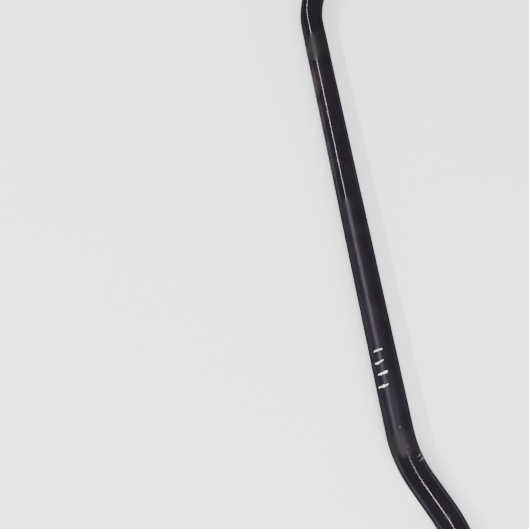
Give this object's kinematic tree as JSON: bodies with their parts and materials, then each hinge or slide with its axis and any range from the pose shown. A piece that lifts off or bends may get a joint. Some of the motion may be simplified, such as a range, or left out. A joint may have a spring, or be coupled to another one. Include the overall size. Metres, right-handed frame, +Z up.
{
  "type": "sway bar",
  "caption": "Bent round steel anti-roll bar with jogged centre section, rubber bushes in strap brackets and ball-jointed drop links on its eyes.",
  "frame": {"origin": "midway between the four bracket bolt holes, on the plane that the brackets bolt to", "axes": "+X to the vehicle's right, along the bar; +Y forward, towards the arms' ends; +Z up"},
  "size_m": [1.164, 0.29, 0.3026],
  "materials": {
    "bar_paint": "satin black paint, dull where the jogs were bent",
    "bracket_coat": "black electro-coat on pressed steel",
    "bush_rubber": "moulded, matt",
    "ring_metal": "turned, squeezed on",
    "rod_coat": "black electro-coat",
    "housing_coat": "black electro-coat",
    "cap_metal": "zinc plated",
    "stud_metal": "zinc plated",
    "shell_plastic": "natural acetal",
    "boot_rubber": "soft, matt",
    "clamp_metal": "spring steel",
    "nut_metal": "zinc plated"
  },
  "bodies": {
    "bar_assembly": {"bar": "bar_paint", "right_retaining_ring": "ring_metal", "right_lower_ball_stud": "stud_metal", "right_link_nut": "nut_metal", "left_retaining_ring": "ring_metal", "left_lower_ball_stud": "stud_metal", "left_link_nut": "nut_metal"},
    "right_mounting": {"right_bracket": "bracket_coat", "right_bush": "bush_rubber"},
    "right_lower_boot_body": {"right_lower_boot": "boot_rubber", "right_lower_boot_ring": "clamp_metal"},
    "right_link": {"right_link_rod": "rod_coat", "right_lower_housing": "housing_coat", "right_lower_bearing_shell": "shell_plastic", "right_lower_end_cap": "cap_metal", "right_lower_boot_clamp": "clamp_metal", "right_upper_housing": "housing_coat", "right_upper_bearing_shell": "shell_plastic", "right_upper_end_cap": "cap_metal", "right_upper_boot_clamp": "clamp_metal"},
    "right_upper_boot_body": {"right_upper_boot": "boot_rubber", "right_upper_boot_ring": "clamp_metal"},
    "right_upper_stud_body": {"right_upper_ball_stud": "stud_metal"},
    "left_mounting": {"left_bracket": "bracket_coat", "left_bush": "bush_rubber"},
    "left_lower_boot_body": {"left_lower_boot": "boot_rubber", "left_lower_boot_ring": "clamp_metal"},
    "left_link": {"left_link_rod": "rod_coat", "left_lower_housing": "housing_coat", "left_lower_bearing_shell": "shell_plastic", "left_lower_end_cap": "cap_metal", "left_lower_boot_clamp": "clamp_metal", "left_upper_housing": "housing_coat", "left_upper_bearing_shell": "shell_plastic", "left_upper_end_cap": "cap_metal", "left_upper_boot_clamp": "clamp_metal"},
    "left_upper_boot_body": {"left_upper_boot": "boot_rubber", "left_upper_boot_ring": "clamp_metal"},
    "left_upper_stud_body": {"left_upper_ball_stud": "stud_metal"}
  },
  "joints": [
    {"name": "right_bracket_turn", "type": "hinge", "parent": "bar_assembly", "child": "right_mounting", "pos_m": [0.345, 0, 0.018], "axis": [1, 0, 0], "range_deg": [-25, 25]},
    {"name": "right_lower_ball_spin", "type": "hinge", "parent": "bar_assembly", "child": "right_lower_boot_body", "pos_m": [0.532, 0.222, 0.018], "axis": [-1, 0, 0], "continuous": true},
    {"name": "right_lower_ball_tilt", "type": "hinge", "parent": "right_lower_boot_body", "child": "right_link", "pos_m": [0.532, 0.222, 0.018], "axis": [0, 1, 0], "range_deg": [-15, 15], "deforming": ["right_lower_boot"]},
    {"name": "right_upper_ball_tilt", "type": "hinge", "parent": "right_link", "child": "right_upper_boot_body", "pos_m": [0.532, 0.222, 0.288], "axis": [0, 1, 0], "range_deg": [-15, 15], "deforming": ["right_upper_boot"]},
    {"name": "right_upper_ball_spin", "type": "hinge", "parent": "right_upper_boot_body", "child": "right_upper_stud_body", "pos_m": [0.532, 0.222, 0.288], "axis": [1, 0, 0], "continuous": true},
    {"name": "left_bracket_turn", "type": "hinge", "parent": "bar_assembly", "child": "left_mounting", "pos_m": [-0.345, 0, 0.018], "axis": [1, 0, 0], "range_deg": [-25, 25]},
    {"name": "left_lower_ball_spin", "type": "hinge", "parent": "bar_assembly", "child": "left_lower_boot_body", "pos_m": [-0.532, 0.222, 0.018], "axis": [-1, 0, 0], "continuous": true},
    {"name": "left_lower_ball_tilt", "type": "hinge", "parent": "left_lower_boot_body", "child": "left_link", "pos_m": [-0.532, 0.222, 0.018], "axis": [0, -1, 0], "range_deg": [-15, 15], "deforming": ["left_lower_boot"]},
    {"name": "left_upper_ball_tilt", "type": "hinge", "parent": "left_link", "child": "left_upper_boot_body", "pos_m": [-0.532, 0.222, 0.288], "axis": [0, -1, 0], "range_deg": [-15, 15], "deforming": ["left_upper_boot"]},
    {"name": "left_upper_ball_spin", "type": "hinge", "parent": "left_upper_boot_body", "child": "left_upper_stud_body", "pos_m": [-0.532, 0.222, 0.288], "axis": [1, 0, 0], "continuous": true}
  ]
}
